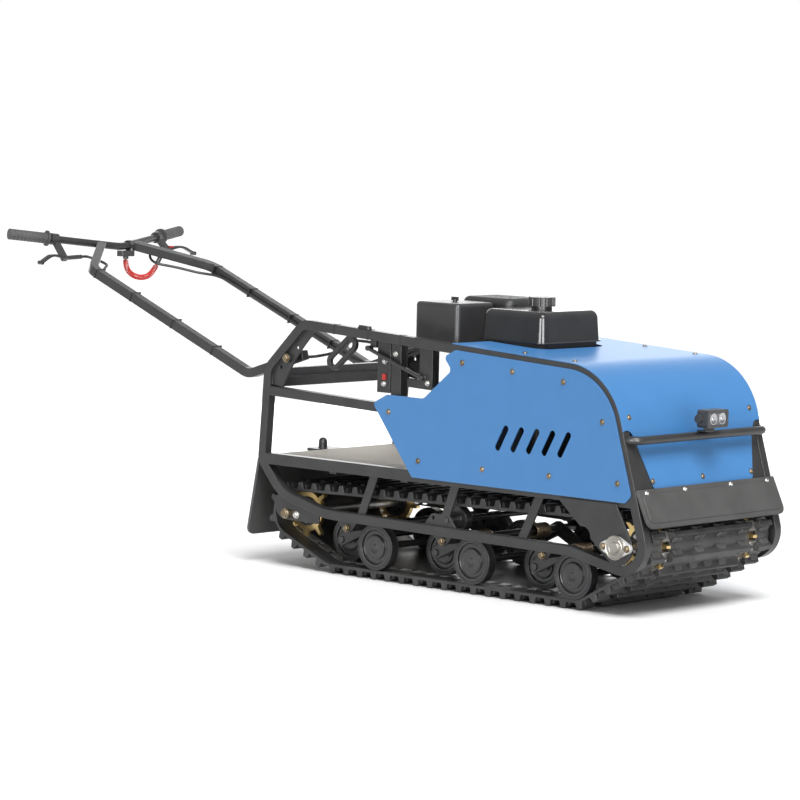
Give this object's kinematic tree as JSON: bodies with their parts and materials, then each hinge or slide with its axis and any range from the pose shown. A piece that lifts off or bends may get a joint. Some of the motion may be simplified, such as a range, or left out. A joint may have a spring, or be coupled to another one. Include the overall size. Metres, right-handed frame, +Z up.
{
  "type": "tracked snow tug",
  "caption": "Walk-behind snow tug: rubber track on sprung bogies in a tube frame, engine under a sheet hood, load deck behind it and a folding handle.",
  "frame": {"origin": "on the ground under the middle of the overall box, on the middle plane of the tug", "axes": "+X forward (the headlight end), +Y to the left, +Z up"},
  "size_m": [2.3591, 0.694, 0.8803],
  "materials": {
    "frame_black": "satin powder coat",
    "panel_blue": "matte powder coat",
    "track_rubber": "matte",
    "rubber_black": "matte",
    "zinc_yellow": "yellow zinc plate",
    "bright_steel": "satin",
    "wheel_black": "moulded",
    "spring_steel": "oiled",
    "engine_black": "heat-proof satin",
    "plastic_black": "moulded",
    "deck_board": "film-faced, mesh pattern",
    "lamp_lens": "clear",
    "grip_grey": "ribbed, matte",
    "tether_red": "curly cord"
  },
  "bodies": {
    "chassis": {"air_box": "plastic_black", "axles": "bright_steel", "bearing_flanges": "bright_steel", "bearing_plates": "frame_black", "bogie_1": "frame_black", "bogie_2": "frame_black", "bogie_3": "frame_black", "bumper": "frame_black", "carriers": "wheel_black", "control_group": "frame_black", "cross_members": "frame_black", "deck": "deck_board", "engine": "engine_black", "engine_plate": "frame_black", "frame_cables": "rubber_black", "front_backing": "frame_black", "front_flap": "rubber_black", "front_plate": "panel_blue", "fuel_cap": "plastic_black", "fuel_tank": "plastic_black", "headlight": "plastic_black", "headlight_lens": "lamp_lens", "hood": "panel_blue", "muffler": "engine_black", "rear_flap": "rubber_black", "side_frame_left": "frame_black", "side_frame_right": "frame_black", "side_panel_left": "panel_blue", "side_panel_right": "panel_blue", "springs": "spring_steel", "sprocket_hubs": "wheel_black", "sprockets": "zinc_yellow", "tow_hitch": "frame_black", "track": "track_rubber", "wheel_rims": "rubber_black", "wheels_1": "wheel_black", "wheels_2": "wheel_black", "wheels_3": "wheel_black"},
    "handle": {"handle_frame": "frame_black", "grip_right": "grip_grey", "grip_left": "grip_grey", "lever_right": "plastic_black", "lever_left": "plastic_black", "switch_box": "plastic_black", "handle_cables": "rubber_black", "tether": "tether_red"}
  },
  "joints": [
    {"name": "handle_fold", "type": "hinge", "parent": "chassis", "child": "handle", "pos_m": [-0.0901, 0, 0.574], "axis": [0, 1, 0], "range_deg": [0, 158]}
  ]
}
